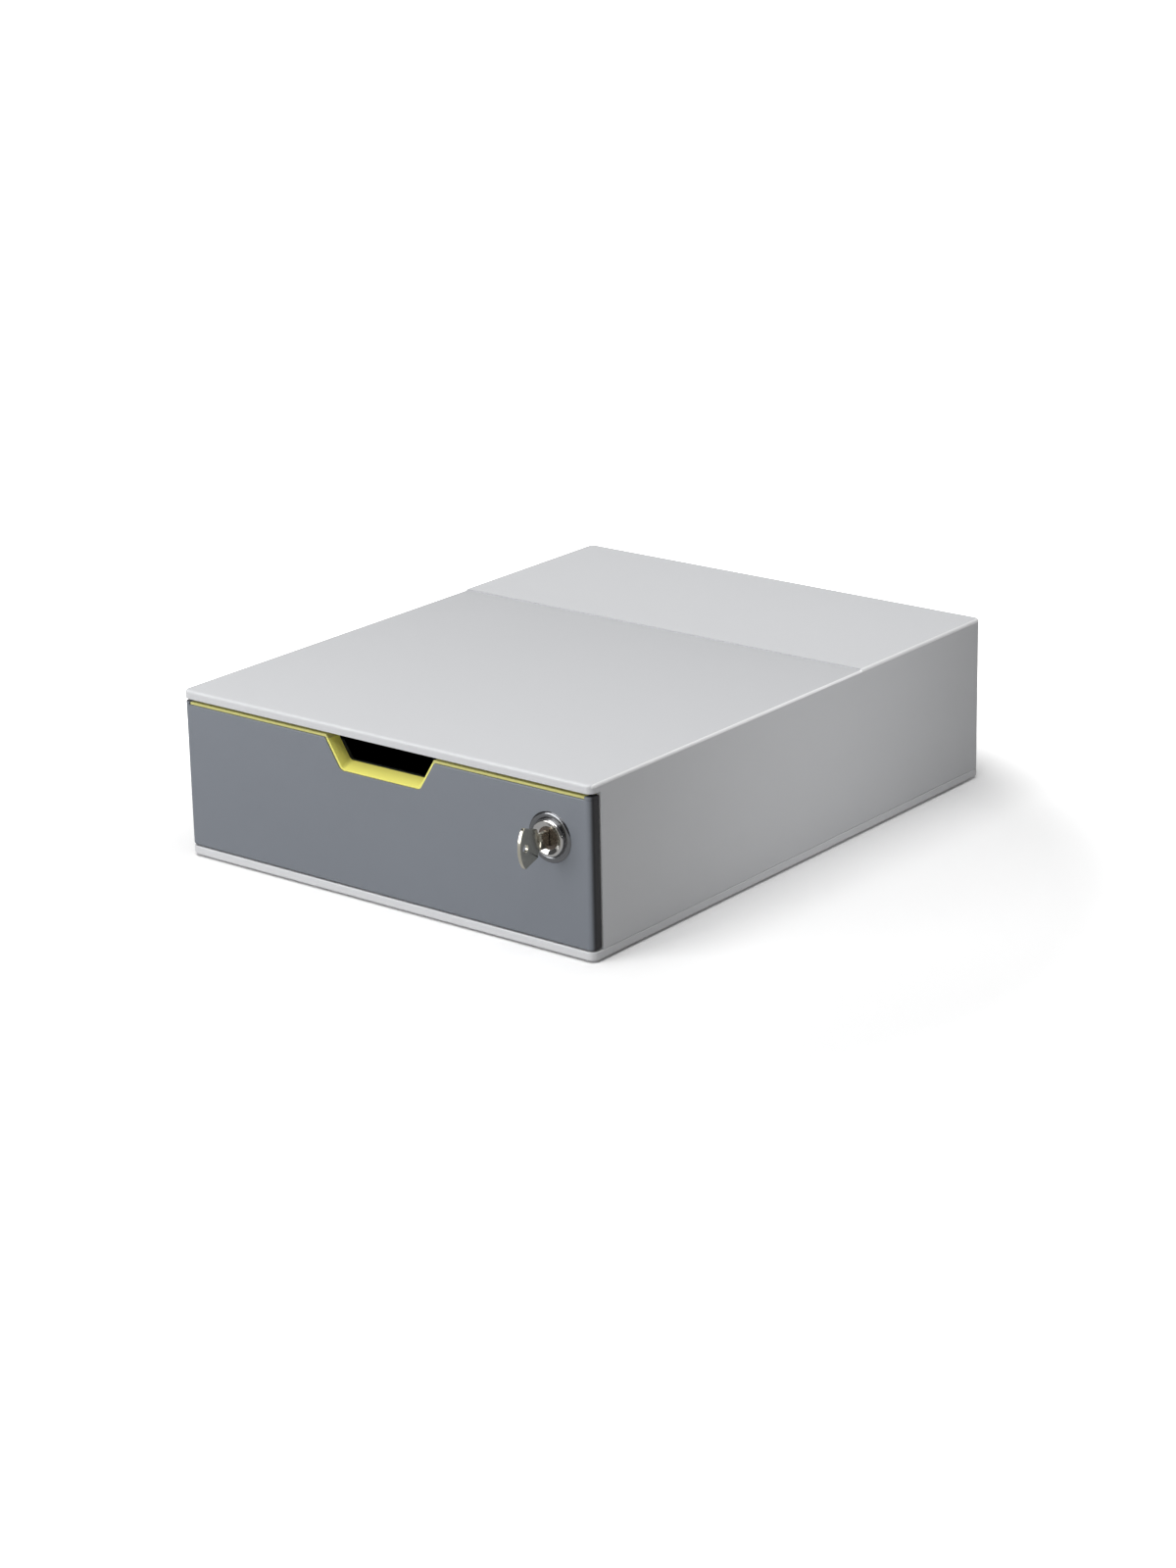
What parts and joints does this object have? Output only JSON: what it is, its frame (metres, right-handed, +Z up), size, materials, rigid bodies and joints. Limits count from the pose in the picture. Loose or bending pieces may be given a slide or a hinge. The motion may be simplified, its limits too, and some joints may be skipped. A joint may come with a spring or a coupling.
{
  "type": "desktop file drawer",
  "caption": "Low lockable desktop drawer box for papers, with a pull-out tray, finger notch in the front, cam lock and removable key.",
  "frame": {"origin": "centre of the footprint, key included, on the desk the feet stand on", "axes": "+X to the right seen from the front, +Y to the back, +Z up"},
  "size_m": [0.28, 0.3808, 0.095],
  "materials": {
    "light_grey_plastic": "fine satin moulded",
    "dark_grey_plastic": "fine satin moulded",
    "yellow_plastic": "satin moulded",
    "tray_plastic": "satin moulded",
    "foot_rubber": "matt",
    "lock_chrome": "polished",
    "zinc_steel": "zinc plated",
    "plug_brass": "nickel-toned, turned",
    "key_steel": "nickel plated"
  },
  "bodies": {
    "housing": {"housing_cover": "light_grey_plastic", "base_plate": "light_grey_plastic", "foot_front_left": "foot_rubber", "foot_front_right": "foot_rubber", "foot_rear_left": "foot_rubber", "foot_rear_right": "foot_rubber", "base_screws": "zinc_steel", "lock_keeper": "zinc_steel"},
    "drawer": {"front_panel": "dark_grey_plastic", "front_liner": "yellow_plastic", "drawer_tray": "tray_plastic", "front_screws": "zinc_steel", "lock_trim_ring": "dark_grey_plastic", "lock_body": "lock_chrome", "lock_washer": "zinc_steel", "lock_nut": "zinc_steel"},
    "plug": {"lock_plug": "plug_brass", "lock_wafers": "plug_brass", "cam_stop_plate": "zinc_steel", "lock_cam": "zinc_steel", "cam_washer": "zinc_steel", "cam_screw": "zinc_steel"},
    "key": {"key": "key_steel"}
  },
  "joints": [
    {"name": "drawer_slide", "type": "slide", "parent": "housing", "child": "drawer", "axis": [0, -1, 0], "range_m": [0, 0.26]},
    {"name": "lock_turn", "type": "hinge", "parent": "drawer", "child": "plug", "pos_m": [0.1132, -0.16555, 0.0628], "axis": [0, 1, 0], "range_deg": [0, 90]},
    {"name": "key_pull", "type": "slide", "parent": "plug", "child": "key", "axis": [0, -1, 0], "range_m": [0, 0.03]}
  ]
}
